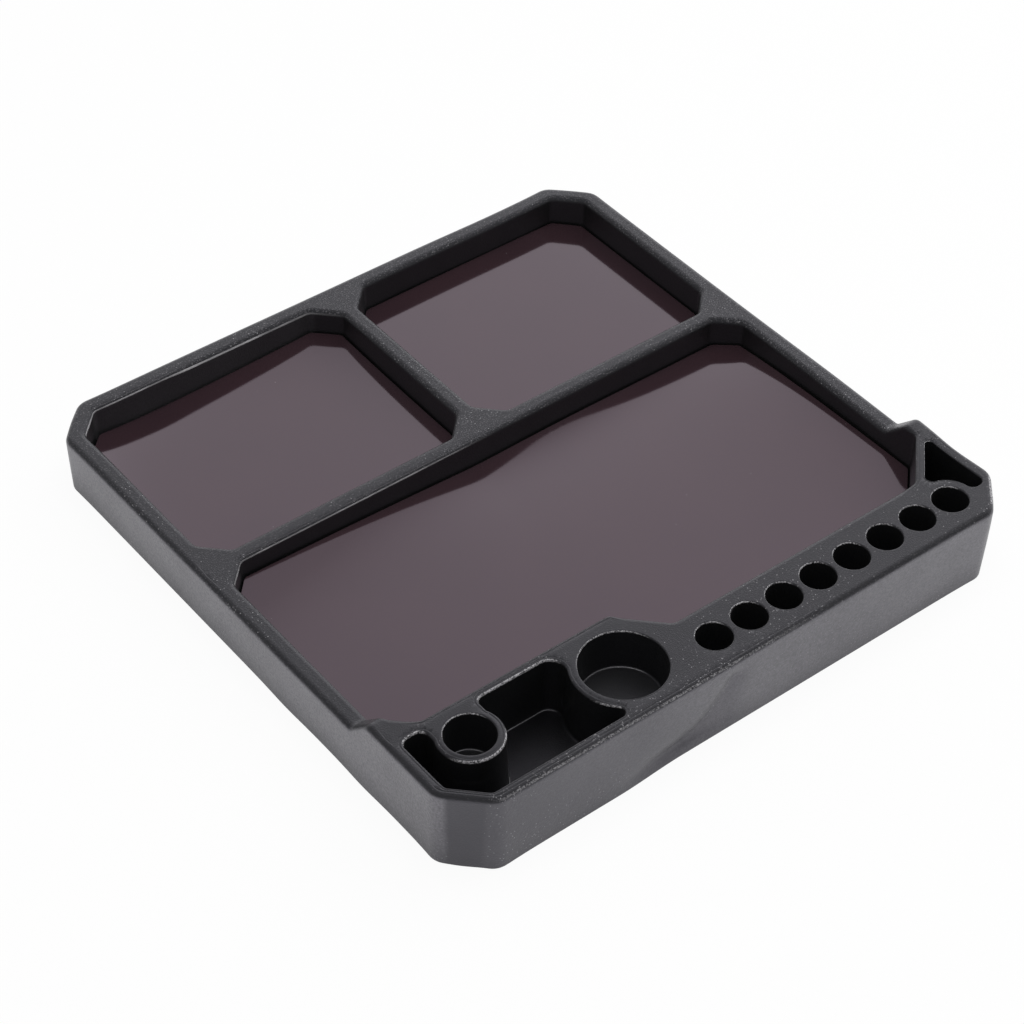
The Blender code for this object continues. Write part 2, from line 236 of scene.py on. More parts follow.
LEFT_BAY_RIGHT = BAY_LEFT + LEFT_BAY_WIDTH
RIGHT_BAY_LEFT = LEFT_BAY_RIGHT + SHORT_DIVIDER
RAMP_TOP = CUP_BAR_REAR + RAMP_SETBACK
RAMP_FOOT = RAMP_TOP + STEP_RISE / math.tan(RAMP_ANGLE)
BAY_FLOOR_Z = RECESS_DEPTH + BAY_FLOOR
POCKET_FLOOR_Z = RECESS_DEPTH + POCKET_FLOOR
CUP_FLOOR_Z = RECESS_DEPTH + CUP_FLOOR
HOLE_FLOOR_Z = RECESS_DEPTH + HOLE_FLOOR
SHEET_LOW = BAY_FLOOR_Z + BOND_GAP

# Camera, fitted to the photograph's edges and circles
CAMERA_PLACE = Vector((-368.21, -450.54, 552.66)) * MM
CAMERA_HEADING = math.radians(38.946)
CAMERA_DROP = math.radians(43.526)
CAMERA_ROLL = math.radians(1.196)
CAMERA_LENS = 95.02
SENSOR = 36.0

# Silicone: linear colours, and the grain of the moulding
SILICONE_DARK = (0.0120, 0.0124, 0.0128, 1.0)
SILICONE_LIGHT = (0.0165, 0.0169, 0.0174, 1.0)
# Painted shade: the next colour darkens the upward faces low in the pockets.
SILICONE_PAINTED_SHADE = (0.0035, 0.0036, 0.0038, 1.0)
SILICONE_TINT = (0.90, 0.875, 1.0, 1.0)
SILICONE_IOR = 1.83
SILICONE_ROUGHNESS = (0.31, 0.41)
SILICONE_TONE_SCALE = 90.0
SILICONE_ROUGHNESS_SCALE = 55.0
PAINTED_SHADE_UP = (0.5, 0.8)
PAINTED_SHADE_Z = (9.0 * MM, 8.0 * MM)
GRAIN_SCALE = 2300.0
GRAIN_STRENGTH = 0.65
GRAIN_DEPTH = 0.07 * MM

# Dust and painted light: mask limits as (0 at, 1 at) or (low, high, soft), and noises as (scale, detail, low,
# high)
# The next colour is painted reflection on the walls, grained like thin dust.
DUST_AND_REFLECTION_COLOUR = (0.200, 0.195, 0.207, 1.0)
REFLECTION_STEEP = (0.6, 0.2)
REFLECTION_LEFT_X = (LEFT + 4 * MM, LEFT + MM)
REFLECTION_LEFT_Z = (-6.0 * MM, 12.0 * MM)
REFLECTION_FRONT_X = (-160.0 * MM, 60.0 * MM)
REFLECTION_FRONT_Z = (-9.0 * MM, 9.0 * MM)
REFLECTION_FRONT_SHARE = 0.75
REFLECTION_REAR_X = (5.0 * MM, -5.0 * MM)
REFLECTION_REAR_Y = (BAY_BACK - 2 * MM, BAY_BACK - 0.5 * MM)
REFLECTION_REAR_SHARE = 0.15
REFLECTION_GRAIN = (1400.0, 2.0, 0.65, 1.35)
REFLECTION_PATCHES = (40.0, 4.0, 0.6, 1.0)
# The next colour is pale dust and painted highlight on the edges that face the front.
DUST_AND_HIGHLIGHT_COLOUR = (0.62, 0.61, 0.63, 1.0)
LIP_FORWARD = (-0.2, -0.5)
LIP_FRONT_X = (30.0 * MM, -10.0 * MM)
LIP_FRONT_LEFT = (LEFT + 10 * MM, LEFT + 16 * MM)
LIP_FRONT_UP = (0.5, 0.88, 0.1)
LIP_FRONT_SHARE = 0.42
LIP_MOUTH_Y = (FRONT + 2.5 * MM, FRONT + 3 * MM)
LIP_MOUTH_DIAGONAL = (LEFT + FRONT + 16 * MM, LEFT + FRONT + 17 * MM)
LIP_MOUTH_UP = (0.08, 0.95, 0.1)
LIP_BAR_Z = (BAR_HEIGHT - 1.4 * MM, BAR_HEIGHT - MM)
LIP_BAR_GRAIN = (2200.0, 2.0, -0.3, 1.2)
LIP_RIM_UP = (0.03, 0.6, 0.12)
LIP_RIM_Z = (RIM_HEIGHT - 1.4 * MM, RIM_HEIGHT, 0.1 * MM)
LIP_RIM_X = (5.0 * MM, -35.0 * MM)
LIP_RIM_PATCHES = (120.0, 2.0, 0.3, 1.0)
# The next colour is a painted highlight at the far foot of the cups and the pocket.
FILLET_HIGHLIGHT_COLOUR = (0.35, 0.345, 0.36, 1.0)
LINE_FORWARD = (-0.1, -0.3)
LINE_CUP_Z = (CUP_FLOOR_Z + 0.05 * MM, CUP_FLOOR_Z + 0.28 * MM, 0.08 * MM)
LINE_POCKET_Z = (POCKET_FLOOR_Z + 0.05 * MM, POCKET_FLOOR_Z + 0.22 * MM, 0.06 * MM)
LINE_UP = (0.4, 0.98, 0.05)
LINE_PATCHES = (150.0, 3.0, 0.2, 1.0)
# The next colour is fine dust, thickened to the rear right as painted light.
FINE_DUST_AND_LIGHT_COLOUR = (0.140, 0.137, 0.144, 1.0)
FINE_Z = (36.0 * MM, 16.0 * MM)
FINE_DIAGONAL = (-260.0 * MM, 120.0 * MM)
FINE_CUT = (0.54, 0.72)
SPARKLE_Y = (FRONT + 6 * MM, FRONT + 2 * MM)
SPARKLE_X = (60.0 * MM, -30.0 * MM)
SPARKLE_Z = (BAR_HEIGHT - 2 * MM, BAR_HEIGHT - MM)
SPARKLE_SCALE = 1500.0
SPARKLE_CUT = (0.61, 0.73)
SPECK_COLOUR = (0.30, 0.295, 0.305, 1.0)
SPECK_CELL = 1.1 * MM
SPECK_SIZE = 0.19 * MM
SPECK_LIMITS = (0.8, 0.15)
SPECK_GAIN = 2.6
SPECK_PATCH_SCALE = 28.0
OPEN_UP = (0.3, 0.7)
OPEN_Z = (16.0 * MM, 18.0 * MM)
OUTER_INSET = (3.0 * MM, 1.5 * MM)

# Magnet rubber
RUBBER_DARK = (0.0285, 0.0145, 0.0180, 1.0)
RUBBER_LIGHT = (0.0335, 0.0170, 0.0205, 1.0)
RUBBER_TINT = (1.0, 0.52, 1.0, 1.0)
RUBBER_IOR = 1.62
RUBBER_ROUGHNESS = (0.07, 0.12)
RUBBER_TONE_SCALE = 35.0
RUBBER_ROUGHNESS_SCALE = 24.0
RUBBER_COAT_IOR = 2.0
RUBBER_COAT_ROUGHNESS = 0.07
LINT_COLOUR = (0.20, 0.19, 0.20, 1.0)
LINT_CELL = 2.6 * MM
LINT_SIZE = 0.22 * MM
LINT_LIMITS = (1.0, 0.72)

# Studio
FLOOR_HALF = 3.0
FLOOR_COLOUR = (0.92, 0.92, 0.92, 1.0)
FLOOR_ROUGHNESS = 0.9
FLOOR_SEEN = 0.94
FLOOR_MIRRORED = 0.5
BRIGHT_SIDE = (0.75, 0.66, 0.0)
ROOM_EDGE = (0.20, 0.46)
ROOM_DIM = 0.20
ROOM_BRIGHT = 0.40
GLOW_EDGE = (0.57, 0.80)
GLOW = 0.25
HORIZON_EDGE = (0.80, 0.95)
HORIZON = 0.53
LAMP_SIZE = 1.0
LAMPS = {"overhead": ((0.0, 0.0, 1.5), 12.0), "right_side": ((1.0, 0.0, 1.0), 7.0)}


# Outlines

def polar(centre, radius, angle):
    return Vector((centre.x + radius * math.cos(angle), centre.y + radius * math.sin(angle)))


def heading(vector):
    return math.atan2(vector.y, vector.x)


def arc(centre, radius, start, end):
    """Points along an arc, both ends included."""
    steps = max(2, math.ceil(abs(end - start) / ARC_STEP - 0.01))
    return [polar(centre, radius, start + (end - start) * i / steps) for i in range(steps + 1)]


def circle(centre, radius, sides):
    return [polar(centre, radius, 2 * math.pi * i / sides) for i in range(sides)]


def left_normal(direction):
    return Vector((-direction.y, direction.x))


def fillet(before, corner, after, radius):
    """Points that round one corner of a path."""
    into = (corner - before).normalized()
    out = (after - corner).normalized()
    turn = math.atan2(into.cross(out), into.dot(out))
    if radius <= 0 or abs(turn) < 1e-4:
        return [corner]
    first = corner - into * radius * math.tan(abs(turn) / 2)
    centre = first + left_normal(into) * math.copysign(radius, turn)
    start = heading(first - centre)
    return arc(centre, radius, start, start + turn)


def rounded(corners):
    """A closed outline from corners given as (point, radius), anticlockwise."""
    loop = []
    for i, (corner, radius) in enumerate(corners):
        before = corners[i - 1][0]
        after = corners[(i + 1) % len(corners)][0]
        loop += fillet(before, corner, after, radius)
    return loop


def corner(x, y, radius):
    return (Vector((x, y)), radius)


def as_drawn(points):
    """Points of an arc that need no rounding of their own."""
    return [(p, 0.0) for p in points]


def chamfered(left, front, right, back, leg, radius):
    """A rectangle with its corners cut at 45 degrees and the cuts rounded."""
    return rounded([
        corner(left + leg, front, radius), corner(right - leg, front, radius),
        corner(right, front + leg, radius), corner(right, back - leg, radius),
        corner(right - leg, back, radius), corner(left + leg, back, radius),
        corner(left, back - leg, radius), corner(left, front + leg, radius),
    ])


def blend_centre(point, direction, centre, reach, radius, leaving):
    """Centre of the round that touches a straight wall and a round wall of the given reach."""
    start = point + left_normal(direction) * radius - centre
    along = start.dot(direction)
    root = math.sqrt(along ** 2 - start.length_squared + (reach + radius) ** 2)
    travel = -along + root if leaving else -along - root
    return centre + start + direction * travel


def offset(loop, distance):
    """The outline moved outward along its own normals."""
    moved = []
    for i, point in enumerate(loop):
        into = (point - loop[i - 1]).normalized()
        out = (loop[(i + 1) % len(loop)] - point).normalized()
        between = (left_normal(into) + left_normal(out)).normalized()
        moved.append(point - between * distance / between.dot(left_normal(into)))
    return moved


def split_rows(loop, rows):
    """The outline with a point added wherever it crosses one of the given rows."""
    result = []
    for i, start in enumerate(loop):
        end = loop[(i + 1) % len(loop)]
        low = min(start.y, end.y) + ROW_MARGIN
        high = max(start.y, end.y) - ROW_MARGIN
        cuts = [(row - start.y) / (end.y - start.y) for row in rows if low < row < high]
        result.append(start)
        result += [start.lerp(end, t) for t in sorted(cuts)]
    return result


def dense(loop, spacing):
    """The outline with its long straights cut into short ones."""
    result = []
    for i, start in enumerate(loop):
        end = loop[(i + 1) % len(loop)]
        parts = max(1, math.ceil((end - start).length / spacing))
        result += [start.lerp(end, k / parts) for k in range(parts)]
    return result


# The tray's top, seen from the side: low rims, a rounded ramp, then the bar

def step_profile():
    back = Vector((BACK, RIM_HEIGHT))
    foot = Vector((RAMP_FOOT, RIM_HEIGHT))
    head = Vector((RAMP_TOP, BAR_HEIGHT))
    front = Vector((FRONT, BAR_HEIGHT))
    return fillet(back, foot, head, RAMP_RADIUS) + fillet(foot, head, front, RAMP_RADIUS)


PROFILE = step_profile()
ROWS = [p.x for p in PROFILE]


def top_z(y):
    return float(np.interp(y, ROWS[::-1], [p.y for p in PROFILE[::-1]]))


def level(loop, z):
    return [Vector((p.x, p.y, z)) for p in loop]


def edge_arc(radius, steps):
    """Run and drop of a rounded edge, from the wall up to the top."""
    turns = [math.pi / 2 * i / steps for i in range(steps + 1)]
    return [(radius * (1 - math.cos(a)), radius * (math.sin(a) - 1)) for a in turns]


def quarter_turn():
    """Angles over a rounded foot, from the flat to the wall."""
    return np.linspace(0, math.pi / 2, FOOT_STEPS + 1)


def wall_inset(height):
    return height * math.tan(DRAFT)


def rows_between(low, high, count):
    """Rings that climb evenly from one ring to another, both left out."""
    return [[a.lerp(b, k / (count + 1)) for a, b in zip(low, high)] for k in range(1, count + 1)]


# Meshes from rings of points

def inside(points, loops):
    """Which of the points lie within an odd number of the loops."""
    odd = np.zeros(len(points), bool)
    for loop in loops:
        ahead = np.roll(loop, -1, axis=0)
        for (x0, y0), (x1, y1) in zip(loop, ahead):
            if y0 == y1:
                continue
            spans = (points[:, 1] < y0) != (points[:, 1] < y1)
            cross = x0 + (points[:, 1] - y0) * (x1 - x0) / (y1 - y0)
            odd ^= spans & (points[:, 0] < cross)
    return odd


class Shell:
    """A closed mesh made of rings, bands between them and filled flats."""

    def __init__(self):
        self.points = []
        self.faces = []
        self.creases = []

    def ring(self, points):
        start = len(self.points)
        self.points += [tuple(p) for p in points]
        return list(range(start, start + len(points)))

    def bands(self, rings, outward):
        """Faces between rings that are given from the bottom up."""
        made = [self.ring(points) for points in rings]
        for low, high in zip(made, made[1:]):
            for i in range(len(low)):
                j = (i + 1) % len(low)
                face = (low[i], low[j], high[j], high[i])
                self.faces.append(face if outward else face[::-1])
        return made[0], made[-1]

    def fill(self, rings, spacing, height, upward=True):
        """Triangles over the region inside the first ring and outside the others."""
        loops = [np.array([self.points[i][:2] for i in ring]) for ring in rings]
        edge = np.concatenate(loops)
        low = edge.min(axis=0)
        high = edge.max(axis=0)
        xs = np.arange(low[0] + spacing / 2, high[0], spacing)
        ys = np.arange(low[1] + spacing / 2, high[1], spacing * GRID_ROW)
        grid = np.array([(x + (k % 2) * spacing / 2, y) for k, y in enumerate(ys) for x in xs])
        grid = grid[inside(grid, loops)]
        near = np.array([np.min(np.sum((edge - p) ** 2, axis=1)) for p in grid])
        grid = grid[near > (GRID_MARGIN * spacing) ** 2]
        known = [i for ring in rings for i in ring]
        known += self.ring([(x, y, height(x, y)) for x, y in grid])
        edges = []
        start = 0
        for ring in rings:
            size = len(ring)
            edges += [(start + i, start + (i + 1) % size) for i in range(size)]
            start += size
        flat = [Vector(p) for p in np.concatenate([edge, grid])]
        verts, _, faces, sources, _, _ = delaunay_2d_cdt(flat, edges, [], 0, 1e-9)
        spots = np.array(verts)
        middles = np.array([spots[list(face)].mean(axis=0) for face in faces])
        for face, kept in zip(faces, inside(middles, loops)):
            if kept:
                chosen = tuple(known[sources[i][0]] for i in face)
                self.faces.append(chosen if upward else chosen[::-1])

    def make(self, name, mat):
        mesh = bpy.data.meshes.new(name)
        mesh.from_pydata(self.points, [], self.faces)
        mesh.validate()
        mesh.shade_smooth()
        sharp = {frozenset((ring[i - 1], ring[i])) for ring in self.creases for i in range(len(ring))}
        for edge in mesh.edges:
            edge.use_edge_sharp = frozenset(edge.vertices) in sharp
        mesh.materials.append(mat)
        obj = bpy.data.objects.new(name, mesh)
        bpy.context.scene.collection.objects.link(obj)
        weighted = obj.modifiers.new("even_normals", "WEIGHTED_NORMAL")
        weighted.weight = 50
        weighted.keep_sharp = True
        return obj


# Outlines of the bays and pockets

def rear_bay_outline(left, right):
    return dense(chamfered(left, REAR_BAY_FRONT, right, BAY_BACK, REAR_BAY_LEG, BAY_RADIUS), SPACING)


def main_bay_outline():
    """The large bay: its front follows the bar, which is wide at the cups and narrow at the holes."""
    slant = BIG_CUP.x + BIG_CUP.y + math.sqrt(2) * (BIG_R + CUP_CORNER_WALL)
    leg = MAIN_BAY_LEG
    points = [
        (BAY_LEFT + leg, CUP_BAR_REAR), (slant - CUP_BAR_REAR, CUP_BAR_REAR),
        (slant - HOLE_BAR_REAR, HOLE_BAR_REAR), (BAY_RIGHT - CORNER_WEB_LEG, HOLE_BAR_REAR),
        (BAY_RIGHT, HOLE_BAR_REAR + CORNER_WEB_LEG), (BAY_RIGHT, MAIN_BAY_BACK - leg),
        (BAY_RIGHT - leg, MAIN_BAY_BACK), (BAY_LEFT + leg, MAIN_BAY_BACK),
        (BAY_LEFT, MAIN_BAY_BACK - leg), (BAY_LEFT, CUP_BAR_REAR + leg),
    ]
    return dense(split_rows(rounded([corner(x, y, BAY_RADIUS) for x, y in points]), ROWS), SPACING)


def pocket_outline():
    """The pocket between the left wall, the ring post on its neck and the big cup's wall."""
    leg = CORNER_LEG + math.sqrt(2) * POCKET_CORNER_WALL - POCKET_SIDE_WALL - POCKET_FRONT_WALL
    rightward = Vector((1, 0))
    front_wall = Vector((POCKET_LEFT, POCKET_FRONT))
    rear_wall = Vector((POCKET_LEFT, POCKET_REAR))
    front_tip = blend_centre(front_wall, rightward, BIG_CUP, WALL_R, FRONT_TIP_RADIUS, False)
    rear_tip = blend_centre(rear_wall, -rightward, BIG_CUP, WALL_R, REAR_TIP_RADIUS, True)
    front_turn = heading(front_tip - BIG_CUP) + 2 * math.pi
    rear_turn = heading(rear_tip - BIG_CUP)
    neck = RING_R - NECK_INSET
    shoulder = math.acos(neck / RING_R)
    loop = rounded(
        [corner(POCKET_LEFT, POCKET_FRONT + leg, POCKET_RADIUS),
         corner(POCKET_LEFT + leg, POCKET_FRONT, POCKET_RADIUS)]
        + as_drawn(arc(front_tip, FRONT_TIP_RADIUS, -math.pi / 2, heading(BIG_CUP - front_tip)))
        + as_drawn(arc(BIG_CUP, WALL_R, front_turn, rear_turn)[1:-1])
        + as_drawn(arc(rear_tip, REAR_TIP_RADIUS, heading(BIG_CUP - rear_tip), math.pi / 2))
        + [corner(RING.x + neck, POCKET_REAR, POCKET_RADIUS)]
        + as_drawn(arc(RING, RING_R, shoulder, -math.pi - shoulder))
        + [corner(RING.x - neck, POCKET_REAR, SLOT_RADIUS), corner(POCKET_LEFT, POCKET_REAR, SLOT_RADIUS)])
    return dense(loop, FINE_SPACING)


def corner_pocket_outline():
    """The three-cornered pocket between the right wall, the bay's slanted web and the last hole."""
    side = RIGHT - CORNER_SIDE_WALL
    reach = HOLE_R + CORNER_RING_WALL
    slant = BAY_RIGHT - CORNER_WEB_LEG - HOLE_BAR_REAR + math.sqrt(2) * CORNER_WEB
    tip = Vector((side, side - slant))
    downhill = Vector((-1, -1)).normalized()
    heel = blend_centre(tip, downhill, LAST_HOLE, reach, CORNER_HEEL_RADIUS, False)
    heel_start = heading(-left_normal(downhill))
    toe_y = LAST_HOLE.y - CORNER_TOE
    toe_start = math.asin((CORNER_TOE_RADIUS - CORNER_TOE) / reach) + ARC_STEP / 4
    loop = rounded(
        [(tip, CORNER_TIP_RADIUS)]
        + as_drawn(arc(heel, CORNER_HEEL_RADIUS, heel_start, heading(LAST_HOLE - heel) + 2 * math.pi))
        + as_drawn(arc(LAST_HOLE, reach, heading(heel - LAST_HOLE), toe_start)[1:])
        + [corner(LAST_HOLE.x + reach, toe_y, CORNER_TOE_RADIUS), corner(side, toe_y, CORNER_TOE_RADIUS)])
    return dense(loop, FINE_SPACING)


# Bends and waves

def hump(u, centre, width):
    return math.exp(-((u - centre) / width) ** 2)


def rise(u, start, end):
    """A soft step from 0 at the start to 1 at the end."""
    share = min(1.0, max(0.0, (u - start) / (end - start)))
    return share * share * (3 - 2 * share)


def soft_ramp(u):
    """A ramp that leaves zero gently."""
    return (u + math.hypot(u, CURL_EASE)) / 2


def fade(distance, length):
    return math.exp(-max(0.0, distance) / length)


def rear_left_curl(x, y):
    """Lifted at the rear corners, most at the right, and sagging a little to the rear wall between them."""
    lift = CORNER_CURL * fade(LEFT_BAY_RIGHT - x, CORNER_FADE[0]) * fade(BAY_BACK - y, CORNER_FADE[1])
    lift += LEFT_CURL * fade(x - BAY_LEFT, LEFT_FADE[0]) * fade(BAY_BACK - y, LEFT_FADE[1])
    return lift - 2 * SAG * fade(BAY_BACK - y, SAG_FADE) * rise(x, *SAG_LEFT_X)


def rear_right_curl(x, y):
    """Nearly flat, and sagging a little to the right wall and to the rear wall at the left."""
    rear = SAG_REAR_SHARE * fade(BAY_BACK - y, SAG_FADE) * rise(x, *SAG_RIGHT_X)
    return -SAG * (fade(BAY_RIGHT - x, SAG_FADE) + rear)


def main_curl(x, y):
    """Lifted along the right edge and at the rear left corner, with ripples along the rear edge."""
    from_rear = max(0.0, MAIN_BAY_BACK - y)
    rear = REAR_CURL * (1 - fade(soft_ramp(REAR_CURL_START - x), REAR_CURL_LENGTH))
    rear += REAR_RIPPLE * hump(x, REAR_RIPPLE_X, REAR_RIPPLE_WIDTH)
    rear *= fade(from_rear, REAR_CURL_FADE)
    right = RIGHT_CURL * (1 - fade(from_rear, RIGHT_CURL_START)) * fade(BAY_RIGHT - x, RIGHT_CURL_FADE)
    dip = REAR_DIP * hump(x, REAR_DIP_X, REAR_DIP_WIDTH)
    trough = from_rear / REAR_DIP_REACH * math.exp(1 - from_rear / REAR_DIP_REACH)
    return rear + right - dip * trough


CURLS = {"rear_left": rear_left_curl, "rear_right": rear_right_curl, "main": main_curl}


class Nudge:
    """A soft push on the body, strongest at one place."""

    def __init__(self, place, reach, push):
        self.place = Vector(place) * MM
        self.reach = reach
        self.push = Vector(push) * MM

    def at(self, point):
        away = point - self.place
        share = math.prod(hump(a, 0.0, r * MM) for a, r in zip(away, self.reach))
        return self.push * share


# Place, reach and push of each, in millimetres
NUDGES = [
    Nudge((-101, -22, 4), (8, 9, 12), (-0.3, 0, 0)),
    Nudge((-101, -58, 3), (8, 8, 10), (-0.3, 0, 0)),
    Nudge((-95, -96, 2), (10, 10, 14), (-0.8, -0.8, 0)),
    Nudge((-97, 98, 12), (12, 12, 30), (-0.4, 0.5, 0)),
    Nudge((97, 99, 15), (10, 10, 25), (0.3, 0.5, 0)),
    Nudge((66, 102, 19), (22, 9, 20), (0, -0.5, 0)),
    Nudge((-60, 102, 19), (40, 9, 20), (0, 0.2, 0)),
    Nudge((101, -25, 19), (9, 30, 20), (0.35, 0, 0)),
    Nudge((101, -76, 27), (8, 9, 12), (-0.8, 0, 0)),
    Nudge((92, -100, 18), (9, 9, 25), (0.6, -0.5, 0)),
]


def fold(point):
    """How far the front wall stands out: it bulges at its left foot and sinks in at a slanting crease."""
    along = max(0.0, (point.x - FOLD_FOOT[0]) / FOLD_RUN)
    slope = FOLD_CLIMB / FOLD_RUN * FOLD_CURVE * along ** (FOLD_CURVE - 1)
    past = (point.z - FOLD_FOOT[1] - FOLD_CLIMB * along ** FOLD_CURVE) / math.hypot(1, slope)
    bulge = FOLD_BULGE * rise(point.x, *BULGE_RIGHT) * rise(point.x, *BULGE_LEFT) * rise(point.z, *BULGE_TOP)
    width = FOLD_WIDTH[0] if past > 0 else FOLD_WIDTH[1]
    crease = FOLD_CREASE * fade(abs(past), width) * rise(point.z, *CREASE_TOP)
    crease *= rise(point.z, *CREASE_FOOT) * rise(point.x, *CREASE_LEFT) * rise(point.x, *CREASE_RIGHT)
    return (bulge - crease) * rise(point.y - FRONT, *FOLD_INSET)


def settled(point):
    """A point of the body after the small bends that a soft moulding takes."""
    moved = sum((nudge.at(point) for nudge in NUDGES), Vector(point))
    moved.y -= fold(point)
    return moved


BAYS = {
    "rear_left": rear_bay_outline(BAY_LEFT, LEFT_BAY_RIGHT),
    "rear_right": rear_bay_outline(RIGHT_BAY_LEFT, BAY_RIGHT),
    "main": main_bay_outline(),
}


# Sub-parts

def tightness(point):
    """Where the edges are sharper: the front at the left, the long divider, three corners and a web."""
    front = rise(point.x, *TIGHT_FRONT_X) * rise(point.y - FRONT, *TIGHT_FRONT_INSET)
    divider = rise(point.x, *TIGHT_DIVIDER_X) * hump(point.y, MAIN_BAY_BACK, TIGHT_RIM_WIDTH)
    cut = rise(point.x - LEFT, *TIGHT_CUT_SIDE_INSET) * rise(point.y - FRONT, *TIGHT_CUT_FRONT_INSET)
    web = rise(point.x, *TIGHT_WEB_X) * hump(point.y, CUP_BAR_REAR, TIGHT_WEB_WIDTH)
    rear = rise(point.x, *TIGHT_REAR_X) * hump(point.y, BAY_BACK, TIGHT_RIM_WIDTH)
    corner_web = Vector((BAY_RIGHT - CORNER_WEB_LEG / 2, HOLE_BAR_REAR + CORNER_WEB_LEG / 2))
    right = rise((point - corner_web).length, *TIGHT_CORNER_REACH)
    return max(front, cut, divider, web, rear, right)


def edge_rings(loop, radius, steps, side, seam, tight_share):
    """Rings over a rounded edge, from the wall to the top, and over the mould's seam beside it."""
    profile = [(run, drop, 0.0, 0.0) for run, drop in edge_arc(radius, steps)]
    profile += [(radius, 0.0, 0.5, -SEAM_DEPTH), (radius, 0.0, 1.0, 0.0)]
    rings = []
    for run, drop, along, cut in profile:
        ring = []
        for point, end, far in zip(loop, offset(loop, side * run), offset(loop, side * (run + SEAM))):
            tight = tightness(point)
            share = 1 + (tight_share - 1) * tight
            depth = max(tight, seam)
            spot = point.lerp(end, share) + (far - end) * along * max(SEAM_LEAST, depth)
            ring.append(Vector((spot.x, spot.y, top_z(spot.y) + drop * share + cut * depth)))
        rings.append(ring)
    return rings


def cavity(shell, loop, floor_z, mouth_z, edge, foot, spacing, seam=0.0):
    """A drafted hollow with a rounded mouth and foot. Returns the ring where it meets the tray's top."""
    inset = wall_inset(mouth_z - floor_z)
    base = [level(offset(loop, -inset - foot * (1 - math.sin(a))), floor_z + foot * (1 - math.cos(a)))
            for a in quarter_turn()]
    mouth = edge_rings(loop, edge, EDGE_STEPS, 1, seam, TIGHT_SHARE)
    rings = base + rows_between(base[-1], mouth[0], CAVITY_ROWS) + mouth
    floor, top = shell.bands(rings, outward=False)
    shell.fill([floor], spacing, lambda x, y: floor_z)
    return top


def outer_rings():
    """Rings of the outer wall, from the foot to the rounded edge that climbs the ramp."""
    outline = chamfered(LEFT, FRONT, RIGHT, BACK, CORNER_LEG, CORNER_RADIUS)
    outline = dense(split_rows(outline, ROWS), FINE_SPACING)
    inset = BAR_HEIGHT * math.tan(OUTER_DRAFT)
    foot = [level(offset(outline, -inset - FOOT_EDGE * (1 - math.sin(a))), FOOT_EDGE * (1 - math.cos(a)))
            for a in quarter_turn()]
    edge = edge_rings(outline, OUTER_EDGE, EDGE_STEPS + 2, -1, 0.0, OUTER_TIGHT_SHARE)
    recess = [level(offset(outline, -inset - SKIRT - wall_inset(z)), z) for z in (RECESS_DEPTH, 0.0)]
    return recess, foot + rows_between(foot[-1], edge[0], WALL_ROWS) + edge


def tray_body(mat):
    shell = Shell()
    recess, wall = outer_rings()
    roof, top = shell.bands(recess + wall, outward=True)
    shell.fill([roof], ROOF_SPACING, lambda x, y: RECESS_DEPTH, upward=False)
    mouths = []
    for loop in BAYS.values():
        mouths.append(cavity(shell, loop, BAY_FLOOR_Z, RIM_HEIGHT, BAY_EDGE, BAY_FILLET, BAY_SPACING))
    loop = pocket_outline()
    mouths.append(cavity(shell, loop, POCKET_FLOOR_Z, BAR_HEIGHT, POCKET_EDGE, FLOOR_FILLET, SPACING,
                         seam=1.0))
    loop = corner_pocket_outline()
    mouths.append(cavity(shell, loop, POCKET_FLOOR_Z, BAR_HEIGHT, BAR_EDGE, CORNER_POCKET_FILLET, SPACING))
    for centre, radius in ((BIG_CUP, BIG_R), (RING, SMALL_R)):
        loop = circle(centre, radius, CUP_SIDES)
        mouths.append(cavity(shell, loop, CUP_FLOOR_Z, BAR_HEIGHT, BAR_EDGE, FLOOR_FILLET, SPACING))
    for k in range(HOLE_COUNT):
        loop = circle(LAST_HOLE - Vector((k * HOLE_PITCH, 0)), HOLE_R, HOLE_SIDES)
        mouths.append(cavity(shell, loop, HOLE_FLOOR_Z, BAR_HEIGHT, BAR_EDGE, FLOOR_FILLET, SPACING))
    shell.fill([top] + mouths, TOP_SPACING, lambda x, y: top_z(y))
    shell.points = [tuple(settled(Vector(p))) for p in shell.points]
    return shell.make("moulded_tray", mat)


def magnet_sheet(name, mat):
    """A thin sheet cut to its bay's floor, curled where the bond has let go."""
    loop = offset(BAYS[name], -wall_inset(RIM_HEIGHT - BAY_FLOOR_Z) - SHEET_CLEARANCE)
    curl = CURLS[name]

    def under(x, y):
        return SHEET_LOW + max(0.0, curl(x, y))

    def over(x, y):
        return SHEET_LOW + SHEET_THICKNESS + max(-SAG_MOST, curl(x, y))

    shell = Shell()
    edges = [[Vector((p.x, p.y, face(p.x, p.y))) for p in loop] for face in (under, over)]
    low, top = shell.bands(edges, outward=True)
    shell.creases = [low, top]
    shell.fill([low], BAY_SPACING, under, upward=False)
    shell.fill([top], SHEET_SPACING, over)
    return shell.make("sheet_" + name, mat)


# Materials

class Nodes:
    """Short calls for building one material's node tree."""

    def __init__(self, owner):
        owner.use_nodes = True
        self.tree = owner.node_tree

    def add(self, kind, settings=(), **values):
        node = self.tree.nodes.new(kind)
        for key, value in settings:
            setattr(node, key, value)
        for key, value in values.items():
            node.inputs[key.replace("_", " ")].default_value = value
        return node

    def join(self, source, target):
        self.tree.links.new(source, target)


